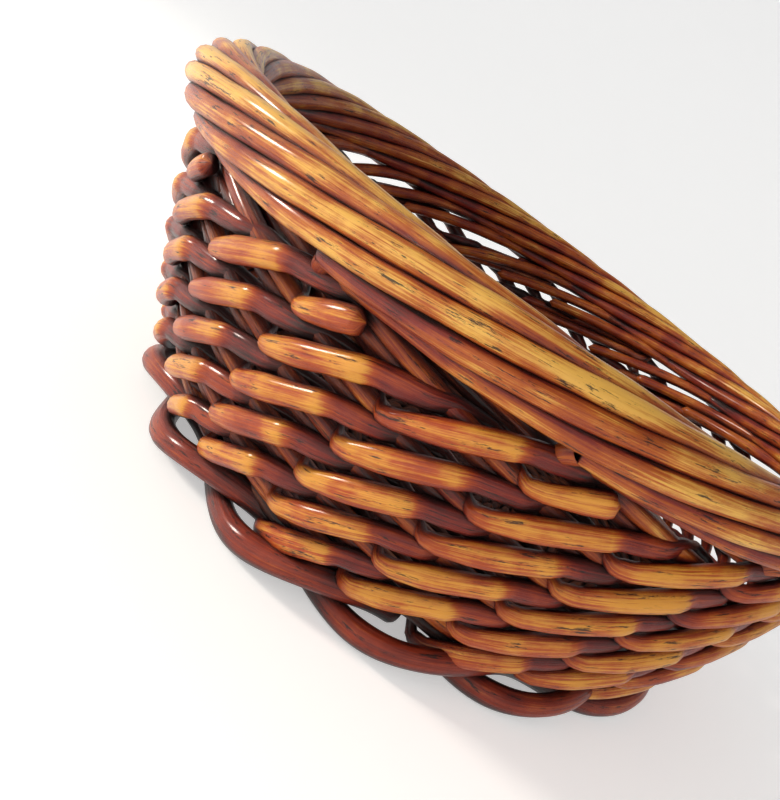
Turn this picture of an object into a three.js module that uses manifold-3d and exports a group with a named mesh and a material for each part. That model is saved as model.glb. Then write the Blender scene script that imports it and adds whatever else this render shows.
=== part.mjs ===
// Woven willow fruit basket. Millimetres, +Z up, standing on z = 0, centred on the Z axis.
import * as THREE from 'three';
import Module from 'manifold-3d';

const wasm = await Module();
wasm.setup();

// ---- driving sizes ----
const STAKES = 24;              // uprights, and as many weavers
const RIM_RADIUS = 150;         // axis of the rolled border
const RIM_HEIGHT = 108;         // centre of the rolled border above the table
const BORDER_HALF_DEPTH = 8;    // border section, axis to rod centre, across the wall
const BORDER_HALF_HEIGHT = 9;  // the same, up and down
const FOOT_RADIUS = 118;        // axis of the foot rope
const BASE_INSET = 12;          // edge of the woven base mat, in from the foot rope's axis
const STAKE_RADIUS = 2.7;
const WEAVER_RADIUS = 2.9;
const BORDER_ROD_RADIUS = 2.9;
const FOOT_ROD_RADIUS = 3.1;
const STICK_RADIUS = 2.4;
const BASE_THICKNESS = 4;
const COURSE_PITCH = 16;        // height from one course of weavers to the next
const WALL_FOOT_INSET = 3;      // stake axis where it stands on the foot, in from the foot rope's axis
const WALL_CURVE_HEIGHT = 7;    // where the wall's curve would begin, below the stakes
const WALL_CURVE = 0.45;        // 1 is a straight cone, smaller is a rounder bowl
const WALL_TOP_INSET = 5;       // stake axis under the border, in from the border's axis
const FOOT_RODS = 5;
const FOOT_TURNS = 3;           // half turns of the foot rope in each rod's share
const FOOT_BOW = 6;             // how far each foot rod bows out and in of the rope's axis
const FOOT_FLAT = 0.6;          // depth worn flat where the foot meets the table

// ---- clearances ----
const WEAVE_GAP = 0.8;          // weaver to stake
const TWIST_GAP = 0.7;          // weaver to weaver where two cross
const FOOT_GAP = 0.7;           // foot rod to foot rod
const STACK_GAP = 0.5;          // pieces laid on each other
const STICK_GAP = 1.5;          // end of a base stick to the foot rope
const BORDER_GAP = 2.5;         // last weaver to the border

// ---- sizes that follow ----
const LEAN_SINE = 0.65;          // how far the wall leans out where it begins
const STEP = 2 * Math.PI / STAKES;
const BASE_RADIUS = FOOT_RADIUS - BASE_INSET;
const WALL_FOOT_RADIUS = FOOT_RADIUS - WALL_FOOT_INSET;
const WALL_TOP_RADIUS = RIM_RADIUS - WALL_TOP_INSET;
const BORDER_FOOT = RIM_HEIGHT - BORDER_HALF_HEIGHT - BORDER_ROD_RADIUS;
const WALL_END = BORDER_FOOT - WEAVER_RADIUS - BORDER_GAP;
const WEAVE_OFFSET = STAKE_RADIUS + WEAVER_RADIUS + WEAVE_GAP;
const TWIST_RISE = WEAVER_RADIUS + TWIST_GAP / 2;
const FOOT_TWIST = FOOT_ROD_RADIUS + FOOT_GAP / 2;
const FOOT_HEIGHT = FOOT_TWIST + FOOT_ROD_RADIUS - FOOT_FLAT;
const FOOT_TOP = FOOT_HEIGHT + FOOT_TWIST + FOOT_ROD_RADIUS;
const STAKE_BOTTOM = FOOT_TOP + STACK_GAP + STAKE_RADIUS * LEAN_SINE;
const WALL_START = FOOT_TOP + WEAVER_RADIUS + STACK_GAP + WEAVE_OFFSET * LEAN_SINE;
const STICK_REACH = FOOT_RADIUS - FOOT_BOW - FOOT_ROD_RADIUS - STICK_GAP;
const LOWER_STICK = FOOT_FLAT + 2 * STICK_RADIUS;
const UPPER_STICK = LOWER_STICK + 2 * STICK_RADIUS + STACK_GAP;
const BASE_UNDERSIDE = UPPER_STICK + STICK_RADIUS + STACK_GAP;

const basket = new THREE.Group();
basket.name = 'woven_fruit_basket';

const willow = (color, roughness) => new THREE.MeshStandardMaterial({ color, roughness, metalness: 0 });
const stakeWillow = willow(0x6b2f1c, 0.45);
const weaverWillow = willow(0xa9591f, 0.35);
const footWillow = willow(0x7a3418, 0.4);
const baseWillow = willow(0x8a4a22, 0.5);

function add(name, geometry, material) {
  const mesh = new THREE.Mesh(geometry, material);
  mesh.name = name;
  basket.add(mesh);
  return mesh;
}

const polar = (radius, angle, height) =>
  new THREE.Vector3(radius * Math.cos(angle), radius * Math.sin(angle), height);

const label = (stem, index) => `${stem}_${String(index + 1).padStart(2, '0')}`;

// A rod follows pointAt(t) for t from 0 to 1, with stations evenly spaced in t.
class RodPath extends THREE.Curve {
  constructor(pointAt) {
    super();
    this.pointAt = pointAt;
  }
  getPoint(t) {
    return this.pointAt(Math.min(Math.max(t, 0), 1));
  }
  getUtoTmapping(u) {
    return u;
  }
}

function rodGeometry(pointAt, stations, radius) {
  const corners = [0, 1, 2, 3].map((i) => new THREE.Vector2(
    radius * Math.cos(i * Math.PI / 2), radius * Math.sin(i * Math.PI / 2)));
  return new THREE.ExtrudeGeometry(new THREE.Shape(corners), {
    steps: stations,
    extrudePath: new RodPath(pointAt),
  });
}

// The wall is a bowl: steep near the border and turning in quickly at the foot.
function wallRadius(height) {
  const curve = (level) => {
    const share = (level - WALL_CURVE_HEIGHT) / (BORDER_FOOT - WALL_CURVE_HEIGHT);
    return Math.max(0, Math.min(1, share)) ** WALL_CURVE;
  };
  const start = curve(STAKE_BOTTOM);
  return WALL_FOOT_RADIUS
    + (WALL_TOP_RADIUS - WALL_FOOT_RADIUS) * (curve(height) - start) / (1 - start);
}

// A point that stands off the wall's surface, outwards for a positive distance.
function offWall(height, distance, angle) {
  const lean = (wallRadius(height + 0.1) - wallRadius(height - 0.1)) / 0.2;
  const slant = Math.hypot(1, lean);
  return polar(wallRadius(height) + distance / slant, angle, height - distance * lean / slant);
}

// ---- foot: five long rods twisted in pairs into an open rope ----
// Each rod spans two shares of the ring and leaves the rope on its inner side.
const footShare = 2 * Math.PI / FOOT_RODS;
const footEnd = 2 * FOOT_ROD_RADIUS / FOOT_RADIUS;
for (let i = 0; i < FOOT_RODS; i += 1) {
  const alongFoot = (t) => {
    const turn = footEnd + t * (2 * footShare - 2 * footEnd);
    const twist = Math.PI + Math.PI * FOOT_TURNS * turn / footShare;
    return polar(FOOT_RADIUS + FOOT_BOW * Math.cos(twist), i * footShare + turn,
      FOOT_HEIGHT + FOOT_TWIST * Math.sin(twist));
  };
  const rod = rodGeometry(alongFoot, 12 * FOOT_TURNS, FOOT_ROD_RADIUS);
  add(label('foot_rod', i), trimmedFlat(rod), footWillow);
}

// Cuts a rod off flat at the table, so that the basket rests on real faces.
function trimmedFlat(geometry) {
  const solid = toManifold(geometry);
  const flat = solid.trimByPlane([0, 0, 1], 0);
  return fromManifold(flat);
}

function toManifold(geometry) {
  const position = geometry.getAttribute('position');
  const mesh = new wasm.Mesh({
    numProp: 3,
    vertProperties: new Float32Array(position.array),
    triVerts: Uint32Array.from({ length: position.count }, (_, i) => i),
  });
  mesh.merge();
  return new wasm.Manifold(mesh);
}

function fromManifold(solid) {
  const mesh = solid.getMesh();
  const geometry = new THREE.BufferGeometry();
  geometry.setAttribute('position', new THREE.BufferAttribute(mesh.vertProperties, 3));
  geometry.setIndex(new THREE.BufferAttribute(mesh.triVerts, 1));
  geometry.computeVertexNormals();
  return geometry;
}

// ---- base: crossed sticks under a round woven mat ----
const stickPlaces = [-1, 1].map((side) => side * BASE_RADIUS / 4);
stickPlaces.forEach((offset, i) => {
  const length = 2 * Math.sqrt(STICK_REACH ** 2 - (Math.abs(offset) + STICK_RADIUS) ** 2);
  const stick = new THREE.CylinderGeometry(STICK_RADIUS, STICK_RADIUS, length, 8);
  const lower = add(label('base_stick_lower', i), stick, baseWillow);
  lower.rotation.z = Math.PI / 2;
  lower.position.set(0, offset, LOWER_STICK);
  const upper = add(label('base_stick_upper', i), stick.clone(), baseWillow);
  upper.position.set(offset, 0, UPPER_STICK);
});
const mat = new THREE.CylinderGeometry(BASE_RADIUS, BASE_RADIUS, BASE_THICKNESS, 2 * STAKES);
mat.rotateX(Math.PI / 2);
add('base_mat', mat, baseWillow).position.z = BASE_UNDERSIDE + BASE_THICKNESS / 2;

// ---- stakes: up the wall, then rolled over outwards, round and down inside ----
// In the border each rod climbs the outer face, crosses the top and ends inside the rim.
const ROLL_START = -70;
const ROLL_PER_STEP = 40;
const ROLL_END = 225;
const rollSteps = (ROLL_END - ROLL_START) / ROLL_PER_STEP;
const borderStations = 2 * Math.round(rollSteps);
const wallStations = 9;
for (let i = 0; i < STAKES; i += 1) {
  const wallPart = wallStations / (wallStations + borderStations + 1);
  const rollFrom = (wallStations + 1) / (wallStations + borderStations + 1);
  const bottom = STAKE_BOTTOM;
  const top = BORDER_FOOT - STAKE_RADIUS;
  const onWall = (height) => polar(wallRadius(height), i * STEP, height);
  const inBorder = (share) => {
    const roll = THREE.MathUtils.degToRad(ROLL_START + share * (ROLL_END - ROLL_START));
    return polar(RIM_RADIUS + BORDER_HALF_DEPTH * Math.cos(roll), (i + 0.1 + share * rollSteps) * STEP,
      RIM_HEIGHT + BORDER_HALF_HEIGHT * Math.sin(roll));
  };
  const alongStake = (t) => {
    if (t <= wallPart) return onWall(bottom + (top - bottom) * (t / wallPart) ** 1.6);
    if (t >= rollFrom) return inBorder((t - rollFrom) / (1 - rollFrom));
    return onWall(top).lerp(inBorder(0), (t - wallPart) / (rollFrom - wallPart));
  };
  add(label('stake', i), rodGeometry(alongStake, wallStations + borderStations + 1, STAKE_RADIUS),
    stakeWillow);
}

// ---- weavers: one to a stake, before one stake and behind the next, climbing to the right ----
// Two neighbours share a course: one passes in above the other as that one comes out.
const weaverSteps = (WALL_END - WALL_START) * 2 / COURSE_PITCH;
for (let i = 0; i < STAKES; i += 1) {
  const odd = i % 2;
  const alongWeaver = (t) => {
    const step = t * weaverSteps - odd;
    const height = WALL_START + t * (WALL_END - WALL_START) + TWIST_RISE * Math.sin(Math.PI * step);
    return offWall(height, WEAVE_OFFSET * Math.cos(Math.PI * step), (i + step) * STEP);
  };
  add(label('weaver', i), rodGeometry(alongWeaver, 4 * Math.round(weaverSteps), WEAVER_RADIUS),
    weaverWillow);
}

export default basket;
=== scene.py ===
import math

import bpy
import numpy as np
from mathutils import Matrix, Vector


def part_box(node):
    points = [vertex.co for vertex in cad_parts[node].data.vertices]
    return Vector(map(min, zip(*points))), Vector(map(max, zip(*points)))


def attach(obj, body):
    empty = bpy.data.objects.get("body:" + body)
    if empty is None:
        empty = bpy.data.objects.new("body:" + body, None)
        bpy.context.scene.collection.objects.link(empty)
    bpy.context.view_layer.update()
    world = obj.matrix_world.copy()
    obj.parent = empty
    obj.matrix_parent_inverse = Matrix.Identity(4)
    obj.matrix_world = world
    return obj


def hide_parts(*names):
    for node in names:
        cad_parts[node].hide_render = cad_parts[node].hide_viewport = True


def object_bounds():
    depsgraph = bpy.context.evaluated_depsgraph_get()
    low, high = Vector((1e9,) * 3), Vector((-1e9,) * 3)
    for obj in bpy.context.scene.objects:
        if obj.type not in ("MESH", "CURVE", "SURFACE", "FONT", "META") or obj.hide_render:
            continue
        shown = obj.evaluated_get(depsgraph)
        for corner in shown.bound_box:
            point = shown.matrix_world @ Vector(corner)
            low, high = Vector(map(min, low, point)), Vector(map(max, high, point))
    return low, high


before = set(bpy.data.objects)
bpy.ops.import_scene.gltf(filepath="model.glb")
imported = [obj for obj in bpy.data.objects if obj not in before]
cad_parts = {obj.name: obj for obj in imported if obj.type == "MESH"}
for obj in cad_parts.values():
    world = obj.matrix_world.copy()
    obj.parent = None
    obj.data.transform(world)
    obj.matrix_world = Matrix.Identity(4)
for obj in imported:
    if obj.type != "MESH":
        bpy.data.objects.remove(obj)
cad_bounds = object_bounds()

# ---- Camera ----
# A close view from just above the rim, looking across the bowl from its left end, with the
# basket leaning over in the frame. Distances are shares of the rim's radius.
mm = 0.001
low, high = cad_bounds
outer_radius = float(high[0] - low[0]) / 2
border_reach = 9.7 * mm
rim_radius = outer_radius - border_reach
eye_distance = 2.29 * rim_radius
eye_height = math.radians(14.2)
eye_turn = math.radians(7.6)
head_tilt = math.radians(36.4)
film_width = 36
lens_length = 35.954
lens_shift = -0.25897
bowl_middle = 0.4248 * rim_radius
look_at = Vector((0, 0, bowl_middle))
eye = look_at + eye_distance * Vector((
    math.sin(eye_turn) * math.cos(eye_height),
    -math.cos(eye_turn) * math.cos(eye_height),
    math.sin(eye_height)))
forward = (look_at - eye).normalized()
sideways = forward.cross(Vector((0, 0, 1))).normalized()
aim_sideways = 0.094
aim_upward = 0.048
forward = (forward + aim_sideways * sideways + aim_upward * sideways.cross(forward)).normalized()
sideways = (sideways - forward * sideways.dot(forward)).normalized()
upward = sideways.cross(forward)
view_right = math.cos(head_tilt) * sideways + math.sin(head_tilt) * upward
view_up = -math.sin(head_tilt) * sideways + math.cos(head_tilt) * upward
camera = bpy.data.objects.new("camera", bpy.data.cameras.new("camera"))
camera.data.sensor_fit = "HORIZONTAL"
camera.data.sensor_width = film_width
camera.data.lens = lens_length
camera.data.shift_x = lens_shift
camera.data.clip_start = 0.01
camera.matrix_world = Matrix((
    (view_right.x, view_up.x, -forward.x, eye.x),
    (view_right.y, view_up.y, -forward.y, eye.y),
    (view_right.z, view_up.z, -forward.z, eye.z),
    (0, 0, 0, 1)))
bpy.context.scene.collection.objects.link(camera)
bpy.context.scene.camera = camera
bpy.context.scene.view_settings.view_transform = "Standard"


# ---- Studio ----
# A white floor that curves up far from the basket, under a pale sky and soft lamps.
def linear(code, alpha=1.0):
    """An sRGB hex colour as linear light, channel by channel."""
    channels = [int(code[i:i + 2], 16) / 255 for i in (1, 3, 5)]
    return [c / 12.92 if c <= 0.04045 else ((c + 0.055) / 1.055) ** 2.4 for c in channels] + [alpha]


def add_node(tree, kind, settings=None, **inputs):
    """Adds a node, sets its properties, and sets or links each named input."""
    node = tree.nodes.new(kind)
    for name, value in (settings or {}).items():
        setattr(node, name, value)
    for name, value in inputs.items():
        socket = node.inputs[int(name[1:]) if name[1:].isdigit() else name.replace("_", " ")]
        if isinstance(value, bpy.types.NodeSocket):
            tree.links.new(value, socket)
        else:
            socket.default_value = value
    return node


def surface(name, points, capped=False):
    """A grid of points (rows, columns, 3) as one mesh: each square of four neighbouring points is a
    face, the last column joins the first, and capped closes the first and last rows with flat ends."""
    rows, columns = points.shape[:2]
    r = np.arange(rows - 1)[:, None]
    c = np.arange(columns)[None, :]
    corners = [(r, c), (r, c + 1), (r + 1, c + 1), (r + 1, c)]
    faces = np.stack([a * columns + b % columns for a, b in corners], axis=-1).reshape(-1, 4).tolist()
    if capped:
        faces += [list(range(columns))[::-1], list(range((rows - 1) * columns, rows * columns))]
    mesh = bpy.data.meshes.new(name)
    mesh.from_pydata(points.reshape(-1, 3), [], faces)
    mesh.polygons.foreach_set("use_smooth", np.ones(len(faces), dtype=bool))
    piece = bpy.data.objects.new(name, mesh)
    bpy.context.scene.collection.objects.link(piece)
    return piece


out = np.linspace(0, 1, 40)[:, None]
turn = np.linspace(0, 2 * math.pi, 64, endpoint=False)[None, ::-1]
floor_reach = 4.0
floor_rise = 2.2
reach = 1 * mm + floor_reach * out
rise = floor_rise * np.clip((out - 0.3) / 0.7, 0, 1) ** 2
floor = surface("floor", np.stack(np.broadcast_arrays(
    reach * np.cos(turn), reach * np.sin(turn), rise + 0 * turn), axis=-1))

# Matt white paper that glows a little, so the ground stays pale where the lamps don't reach.
paper = bpy.data.materials.new("white_paper")
paper.use_nodes = True
paper_shader = paper.node_tree.nodes["Principled BSDF"]
paper_shader.inputs["Base Color"].default_value = linear("#f6f5f3")
paper_shader.inputs["Roughness"].default_value = 0.9
paper_shader.inputs["Emission Color"].default_value = linear("#ffffff")
paper_shader.inputs["Emission Strength"].default_value = 0.42
floor.data.materials.append(paper)

world = bpy.data.worlds.new("studio")
world.use_nodes = True
world.node_tree.nodes["Background"].inputs["Color"].default_value = linear("#f4f6fa")
world.node_tree.nodes["Background"].inputs["Strength"].default_value = 0.3
bpy.context.scene.world = world


def lamp(name, place, size, power, colour):
    """A square area lamp of a side and a power in watts, turned to face the bowl's middle."""
    light = bpy.data.lights.new(name, "AREA")
    light.size = size
    light.energy = power
    light.color = linear(colour)[:3]
    holder = bpy.data.objects.new(name, light)
    holder.location = place
    holder.rotation_euler = (look_at - Vector(place)).to_track_quat("-Z", "Y").to_euler()
    bpy.context.scene.collection.objects.link(holder)


lamp("key_lamp", look_at + 1.0 * view_up - 0.35 * forward - 0.8 * view_right, 0.2, 14.5, "#fff6ea")
lamp("fill_lamp", eye - 0.1 * view_right, 0.5, 0.5, "#fff4ea")

# ---- Foot ----
# Five long thick willow rods, peeled and dyed dark red-brown. Each spans two fifths of the circle
# and twists about its neighbours, into an open rope that lifts the base off the table.
# Peeled willow, boiled, dyed golden brown and varnished. To the eye it is warm and wet-looking: painted
# shade turns it dark red in the hollows where rods touch, and wear with painted highlights takes it
# to orange and gold on the crests, with fine dark fibres.
# A fibre coordinate has 24 to the metre along the rod and 19 round it. So a streak is about 26 mm
# long and under 1 mm wide, and a fleck 11 mm by 1.3 mm; a stain, at 60 to the metre, is 17 mm.
def varnished_willow(name, hollow, middle, crest, bright):
    """Shade = wear_and_light + 2 streak + 1.4 stain, less up to 1.25 of painted shade where another rod
    lies within 12 mm. The colour runs from hollow to bright with the shade, and flecks of near black lie over
    it."""
    material = bpy.data.materials.new(name)
    material.use_nodes = True
    tree = material.node_tree
    shader = tree.nodes["Principled BSDF"]
    fibre = add_node(tree, "ShaderNodeAttribute", {"attribute_name": "fibre"}).outputs["Vector"]
    wear_and_light = add_node(tree, "ShaderNodeAttribute", {"attribute_name": "wear_and_light"}).outputs["Fac"]
    place = add_node(tree, "ShaderNodeTexCoord").outputs["Object"]
    # long fine fibres
    streak = add_node(tree, "ShaderNodeTexNoise", Vector=fibre, Scale=1.6, Detail=8.0,
                      Roughness=0.72).outputs["Fac"]
    # soft blotches of uneven dye
    stain = add_node(tree, "ShaderNodeTexNoise", Vector=place, Scale=60.0, Detail=4.0).outputs["Fac"]
    # painted shade: darker where another rod lies within 12 mm, in the creases between rods
    contact_shade_ao = add_node(tree, "ShaderNodeAmbientOcclusion", {"samples": 4}, Distance=0.012).outputs["AO"]
    painted_contact_shade = add_node(tree, "ShaderNodeMapRange", Value=contact_shade_ao, From_Min=0.2, From_Max=0.8,
                         To_Min=-1.25, To_Max=0.0).outputs[0]
    streaked = add_node(tree, "ShaderNodeMath", {"operation": "MULTIPLY_ADD"},
                        _0=streak, _1=2.0, _2=wear_and_light).outputs[0]
    stained = add_node(tree, "ShaderNodeMath", {"operation": "MULTIPLY_ADD"},
                       _0=stain, _1=1.4, _2=streaked).outputs[0]
    shade = add_node(tree, "ShaderNodeMath", {"operation": "ADD"}, _0=stained, _1=painted_contact_shade).outputs[0]
    # the ramp's dark end also shows the painted contact shade, and its bright end the painted highlights
    # carried by wear_and_light
    ramp = add_node(tree, "ShaderNodeValToRGB", Fac=add_node(
        tree, "ShaderNodeMapRange", Value=shade, From_Min=1.37, From_Max=2.77).outputs[0])
    ramp.color_ramp.elements[0].color = linear(hollow)
    ramp.color_ramp.elements[1].color = linear(bright)
    ramp.color_ramp.elements.new(0.36).color = linear(middle)
    ramp.color_ramp.elements.new(0.72).color = linear(crest)
    # small black flecks, longer along the rod than across
    short_fibre = add_node(tree, "ShaderNodeVectorMath", {"operation": "MULTIPLY"},
                           _0=fibre, _1=(0.35, 0.35, 1.5)).outputs[0]
    fleck = add_node(tree, "ShaderNodeTexNoise", Vector=short_fibre, Scale=2.6, Detail=5.0,
                     Roughness=0.75).outputs["Fac"]
    mark = add_node(tree, "ShaderNodeMapRange", Value=fleck, From_Min=0.585, From_Max=0.63,
                    To_Max=0.9).outputs[0]
    dyed = add_node(tree, "ShaderNodeMix", {"data_type": "RGBA"}, _0=mark,
                    _6=ramp.outputs["Color"], _7=linear("#140604")).outputs[2]
    tree.links.new(dyed, shader.inputs["Base Color"])
    # varnish that is a little duller over the pale fibres
    gloss = add_node(tree, "ShaderNodeMapRange", Value=streak, From_Min=0.3, From_Max=0.7,
                     To_Min=0.3, To_Max=0.55).outputs[0]
    tree.links.new(gloss, shader.inputs["Roughness"])
    bump = add_node(tree, "ShaderNodeBump", Height=stained, Strength=0.6, Distance=0.0007)
    tree.links.new(bump.outputs["Normal"], shader.inputs["Normal"])
    shader.inputs["Specular IOR Level"].default_value = 0.25
    shader.inputs["Coat Weight"].default_value = 0.32
    shader.inputs["Coat Roughness"].default_value = 0.18
    return material


def rod(name, path, thickness, wear_and_light, seed, sides=14, flat=0.92):
    """A rod along a path. Each ring stands square to the path, and side 0 faces away from the bowl's
    axis: point = path + radius (flat cos(side) away + sin(side) across). The radius is half the
    thickness, swelling by a few per cent in two slow waves along the rod, with three faint ridges
    around it, and the last rings close in a quarter circle to a rounded cut end. Two attributes go
    with it: fibre, which winds round the rod and runs along it, and wear_and_light, by ring or by
    point, which holds wear and tone together with painted light and shade."""
    step = np.gradient(path, axis=0)
    ahead = step / np.linalg.norm(step, axis=1)[:, None]
    away = path * [1, 1, 0]
    away = away - ahead * (away * ahead).sum(1)[:, None]
    away /= np.linalg.norm(away, axis=1)[:, None]
    across = np.cross(ahead, away)
    length = np.concatenate([[0], np.cumsum(np.linalg.norm(np.diff(path, axis=0), axis=1))])
    swell = 1 + 0.035 * np.sin(length * 190 + seed * 2.4) + 0.03 * np.sin(length * 71 + seed * 5.1)
    radius = thickness / 2 * swell * np.ones(len(path))
    ends = np.clip(np.minimum(length, length[-1] - length) / (0.4 * thickness), 0, 1)
    radius = radius * np.sqrt(np.clip(1 - (1 - ends) ** 2, 0.0004, 1))
    around = np.linspace(0, 2 * math.pi, sides, endpoint=False)
    grain = 1 + 0.02 * np.sin(3 * around + seed)[None, :]
    rings = path[:, None] + (radius[:, None] * grain)[..., None] * (
        flat * np.cos(around)[None, :, None] * away[:, None]
        + np.sin(around)[None, :, None] * across[:, None])
    piece = surface(name, rings, capped=True)
    fibre = np.stack(np.broadcast_arrays(
        3 * np.cos(around)[None, :], 3 * np.sin(around)[None, :],
        length[:, None] * 24 + seed * 17.0), axis=-1)
    piece.data.attributes.new("fibre", "FLOAT_VECTOR", "POINT").data.foreach_set(
        "vector", fibre.astype(np.float32).ravel())
    wear_and_light = wear_and_light[:, None] if np.ndim(wear_and_light) == 1 else wear_and_light
    face_wear_and_light = np.broadcast_to(wear_and_light, (len(path), sides))
    piece.data.attributes.new("wear_and_light", "FLOAT", "POINT").data.foreach_set(
        "value", face_wear_and_light.astype(np.float32).ravel())
    return piece


def polar(radius, angle, height):
    """Points at a radius and an angle about the bowl's axis."""
    return np.stack(np.broadcast_arrays(radius * np.cos(angle), radius * np.sin(angle), height), axis=-1)


foot_willow = varnished_willow("dyed_willow_foot", "#160302", "#5c1005", "#8c2c0a", "#b05a1e")
foot_radius = 118 * mm
foot_rods = 5
foot_turns = 3
foot_thickness = 8.3 * mm
foot_bow = 7.2 * mm
foot_twist = 4.2 * mm
foot_share = 2 * math.pi / foot_rods
foot_end_gap = 0.05
for i in range(foot_rods):
    along = np.linspace(foot_end_gap, 2 * foot_share - foot_end_gap, 240)
    twist = math.pi + math.pi * foot_turns * along / foot_share
    path = polar(foot_radius + foot_bow * np.cos(twist), i * foot_share + along,
                 foot_thickness / 2 + foot_twist + foot_twist * np.sin(twist))
    # painted light: lighter where the rod bows out of the rope, and painted shade where it bows in
    piece = rod(f"foot_willow_{i + 1:02d}", path, foot_thickness, 0.42 + 0.25 * np.cos(twist), i + 60.0)
    piece.data.materials.append(foot_willow)
    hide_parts(f"foot_rod_{i + 1:02d}")
    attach(piece, "root")

# ---- Base ----
# Two pairs of crossed sticks carry a mat of thin dark willow. Its rounds sway over and under the
# spokes, and a few rounds at its edge close the corner between the mat and the wall.
stakes = 24
stake_step = 2 * math.pi / stakes
stick_thickness = 4.8 * mm
base_willow = varnished_willow("dyed_willow_base", "#120504", "#471a0c", "#803f16", "#ab6a30")
for i, node in enumerate(["base_stick_lower_01", "base_stick_lower_02",
                          "base_stick_upper_01", "base_stick_upper_02"]):
    corner, far_corner = (np.array(c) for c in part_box(node))
    middle = (corner + far_corner) / 2
    axis = int(np.argmax(far_corner - corner))
    path = np.repeat(middle[None], 60, axis=0)
    path[:, axis] = np.linspace(corner[axis], far_corner[axis], 60)
    # a hair off the axis, so that away from the axis is never a zero length
    path[:, 1 - axis] += 0.01 * mm
    piece = rod(f"base_stick_{i + 1:02d}", path, stick_thickness, 0.3 * np.ones(60), i + 80.0,
                sides=12, flat=1)
    piece.data.materials.append(base_willow)
    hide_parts(node)
    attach(piece, "root")

mat_low, mat_high = (np.array(c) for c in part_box("base_mat"))
mat_level = (mat_low[2] + mat_high[2]) / 2
mat_pitch = 4.6 * mm
mat_thickness = 5.0 * mm
mat_sway = 1.2 * mm
first_round = 3.4 * mm
last_round = 108 * mm
levels = [(radius, mat_level) for radius in np.arange(first_round, last_round, mat_pitch)]
levels += [(108.5 * mm, 14.2 * mm), (111.5 * mm, 17.6 * mm), (114.2 * mm, 21.4 * mm), (115 * mm, 14.6 * mm)]
around_mat = np.linspace(0, 2 * math.pi, 193)[:-1]
piece_list = []
for i, (radius, level) in enumerate(levels):
    path = polar(radius, around_mat, level + mat_sway * np.cos(stakes * around_mat + math.pi * i))
    # two points over the start, so that the round's ends lap
    path = np.concatenate([path, path[:2]])
    piece_list.append(rod(f"mat_round_{i:02d}", path, mat_thickness, 0.35 * np.ones(len(path)), i + 90.0,
                          sides=8, flat=1))
bpy.ops.object.select_all(action="DESELECT")
for part in piece_list:
    part.select_set(True)
bpy.context.view_layer.objects.active = piece_list[0]
bpy.ops.object.join()
base_mat = piece_list[0]
base_mat.name = "base_mat_woven"
base_mat.data.materials.append(base_willow)
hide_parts("base_mat")
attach(base_mat, "root")

# ---- Stakes and rolled border ----
# Stakes rise from the foot in twelve leaning pairs of dyed willow and fold back under the border.
# Each then winds up the border's outer face and over the top, and its tail tapers down inside.
border_willow = varnished_willow("dyed_willow_border", "#1c0402", "#7c1a0a", "#b0570f", "#e2ad4c")
course_pitch = 16 * mm
wall_start = 19.4 * mm
roll_start = -70
roll_per_step = 40
roll_end = 232
wall_foot = 7 * mm
wall_foot_radius = 100 * mm
wall_spread = 45 * mm
wall_curve = 0.45
border_height = 108 * mm
border_half_depth = 8 * mm
border_half_height = 9 * mm
border_foot = border_height - border_half_height - 2.9 * mm
border_thickness = 6.8 * mm
stake_thickness = 5.8 * mm
stake_foot = 14.8 * mm
stake_top = border_foot - 3.2 * mm
fold_thickness = 5.3 * mm
lean_per_step = course_pitch / 2
column_drift = 0.17 / course_pitch
drift_middle = 50 * mm
pair_spread = 2.5 * mm
roll = np.radians(np.linspace(roll_start, roll_end, 150))
steps_round = (np.degrees(roll) - roll_start) / roll_per_step
hidden_steps = round((stake_top - wall_start) / lean_per_step)
tail_steps = 2.2
tail_inset = 12 * mm
section = np.linspace(0, 2 * math.pi, 14, endpoint=False)[None, :]


def wall_radius(height):
    """The bowl's side: its foot radius, plus its spread times the share of the height to the power
    of its curve, so that it turns in quickly at the foot."""
    share = np.clip((height - wall_foot) / (border_foot - wall_foot), 0, 1)
    return wall_foot_radius + wall_spread * share ** wall_curve


def off_wall(height, distance, angle):
    """A point on the bowl's side, moved off it square to its slope by a distance: outwards by the
    distance over the slant, and down by that times the lean."""
    lean = (wall_radius(height + 0.1 * mm) - wall_radius(height - 0.1 * mm)) / (0.2 * mm)
    slant = np.hypot(1, lean)
    return polar(wall_radius(height) + distance / slant, angle, height - distance * lean / slant)


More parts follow.
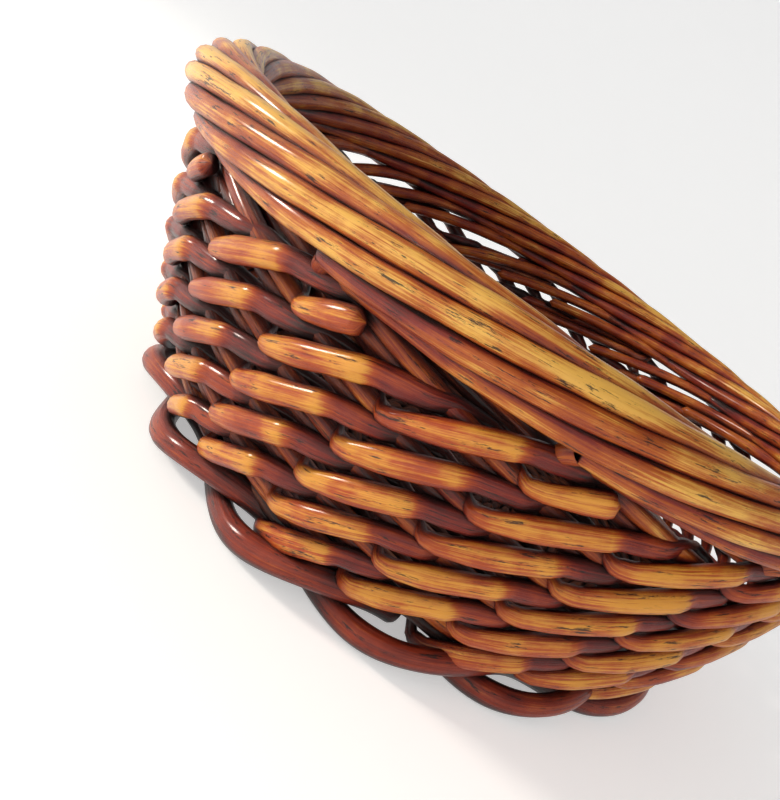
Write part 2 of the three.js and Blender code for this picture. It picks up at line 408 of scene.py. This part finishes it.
for i in range(stakes):
    pair, member = divmod(i, 2)
    side = 2 * member - 1
    heights = stake_foot + (stake_top - stake_foot) * np.linspace(0, 1, 90) ** 1.15
    lean = 2 * pair - (heights - wall_start) / lean_per_step + column_drift * (heights - drift_middle)
    apart = side * pair_spread / (stake_step * wall_radius(heights))
    wall_part = off_wall(heights + side * 0.9 * pair_spread, 0.4 * mm * side,
                         (lean + 0.3 * apart) * stake_step)
    border_index = 2 * pair - hidden_steps + member
    fold_steps = border_index + 0.1
    bend = np.linspace(0, 1, 26)[1:-1]
    ease = bend ** 2 * (3 - 2 * bend)
    start_radius = rim_radius + border_half_depth * math.cos(roll[0])
    start_height = border_height + border_half_height * math.sin(roll[0])
    last_height = heights[-1] + side * 0.9 * pair_spread
    last_radius = wall_radius(last_height)
    turn_back = (lean[-1] - 0.35 * np.sin(math.pi * bend) * (1 - bend)
                 + (fold_steps - lean[-1]) * bend ** 1.5)
    fold_part = polar(last_radius + (start_radius - last_radius) * ease, turn_back * stake_step,
                      last_height + (start_height - last_height) * ease)
    border_part = polar(rim_radius + border_half_depth * np.cos(roll), (fold_steps + steps_round) * stake_step,
                        border_height + border_half_height * np.sin(roll))
    tail = np.linspace(0, 1, 31)[1:]
    tail_drop = (14 + 4 * (i % 3)) * mm
    tail_part = polar(rim_radius + border_half_depth * math.cos(roll[-1]) - tail_inset * tail,
                      (fold_steps + steps_round[-1] + tail_steps * tail) * stake_step,
                      border_height + border_half_height * math.sin(roll[-1]) - tail_drop * tail ** 1.2)
    path = np.concatenate([wall_part, fold_part, border_part, tail_part])
    # painted light makes the border gold on its crest and its outward sides, with painted shade on its inner
    # and lower sides, and its tone differs from rod to rod
    rod_tone_and_light = 0.46 + 0.16 * math.sin(2.1 * i) + 0.3 * np.cos(roll - math.radians(60))
    lit_faces_out = np.cos(section + roll[:, None])
    wear_and_light = np.concatenate([
        0.52 * np.ones((len(heights), 14)),
        np.tile(np.linspace(0.52, 0.4, len(bend))[:, None], 14),
        rod_tone_and_light[:, None] + 0.55 * (lit_faces_out - 0.55),
        0.5 * np.ones((len(tail), 14))])
    thickness = np.concatenate([
        stake_thickness * np.ones(len(heights)),
        np.linspace(fold_thickness, border_thickness, len(bend)),
        border_thickness * np.ones(len(roll)),
        border_thickness * (1 - 0.25 * tail)])
    number = border_index % stakes + 1
    piece = rod(f"stake_rod_{number:02d}", path, thickness, wear_and_light, i * 1.0, flat=1)
    piece.data.materials.append(border_willow)
    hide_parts(f"stake_{number:02d}")
    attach(piece, "root")

# ---- Weavers ----
# One rod to a stake, twisting in pairs: over one pair of stakes and behind the next, climbing
# to the right. Each stroke kinks where it turns in above its neighbour, then tapers down behind.
weaver_willow = varnished_willow("dyed_willow_weaver", "#1a0302", "#701205", "#a84308", "#d49230")
weaver_thickness = 7.3 * mm
# A turn is two stake steps, from -0.5 to 1.5: the stroke in front to 0.4, the tail behind after it.
# Rise and stand are shares of the twist's rise and of the weave's offset from the wall.
weave_offset = 5.6 * mm
twist_rise = 5.1 * mm
rise_steps = [-0.5, -0.42, 0.4, 0.95, 1.5]
rise_shares = [-0.85, -1.0, 1.0, 0.88, -0.85]
stand_steps = [-0.5, -0.43, -0.3, 0.0, 0.38, 0.48, 0.8, 1.0, 1.2, 1.38, 1.5]
stand_shares = [0.0, 0.7, 1.05, 1.15, 1.1, 0.82, 0.48, -0.2, -0.95, -0.7, 0.0]
# wear along the turn, golden in the stroke and dark in the tail, with a painted highlight peaking at the
# crease near 0.38
wear_glint_steps = [-0.5, -0.43, -0.2, 0.2, 0.38, 0.43, 0.5, 1.0, 1.4]
wear_glint_shares = [0.34, 0.56, 0.68, 0.76, 0.96, 0.42, 0.12, 0.02, 0.05]
thick_steps = [-0.5, -0.38, -0.1, 0.34, 0.45, 0.6, 0.95, 1.3, 1.5]
thick_shares = [0.4, 0.8, 1.04, 1.06, 0.94, 0.98, 0.82, 0.58, 0.4]
# section directions for the weavers' painted light: outward_lit faces away from the bowl, and upper points to
# the rod's lower side here
outward_lit = np.cos(section)
upper = np.sin(section)
for i in range(stakes):
    odd = i % 2
    first_step = -1.35 if odd else -0.8
    last_step = 8.1 if odd else 9.2
    step = np.linspace(first_step, last_step, 280)
    in_turn = (step + 0.5) % 2 - 0.5
    rise = np.interp(in_turn, rise_steps, rise_shares)
    rise[1:-1] = (rise[:-2] + 2 * rise[1:-1] + rise[2:]) / 4
    tucked = np.clip((step - first_step) / 0.3, 0, 1)
    stand = np.interp(in_turn, stand_steps, stand_shares) * tucked - 0.9 * (1 - tucked)
    course_line = wall_start + (step + odd) * course_pitch / 2
    height = course_line + twist_rise * rise
    drift = column_drift * (course_line - drift_middle)
    path = off_wall(height, weave_offset * stand, (i + step + drift) * stake_step)
    front_and_glint = np.interp(in_turn, wear_glint_steps, wear_glint_shares) * (0.4 + 0.6 * tucked)
    # painted highlight on the outward side and painted shade on the lower side; the sin(i) term is tone that
    # differs from rod to rod
    worn_and_lit = front_and_glint[:, None] + 0.12 * math.sin(i * 2.4) + 0.2 * (outward_lit - 0.4) - 0.16 * upper
    thickness = weaver_thickness * np.interp(in_turn, thick_steps, thick_shares)
    piece = rod(f"weaver_rod_{i + 1:02d}", path, thickness, worn_and_lit, i + 30.0, flat=0.8)
    piece.data.materials.append(weaver_willow)
    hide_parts(f"weaver_{i + 1:02d}")
    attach(piece, "root")
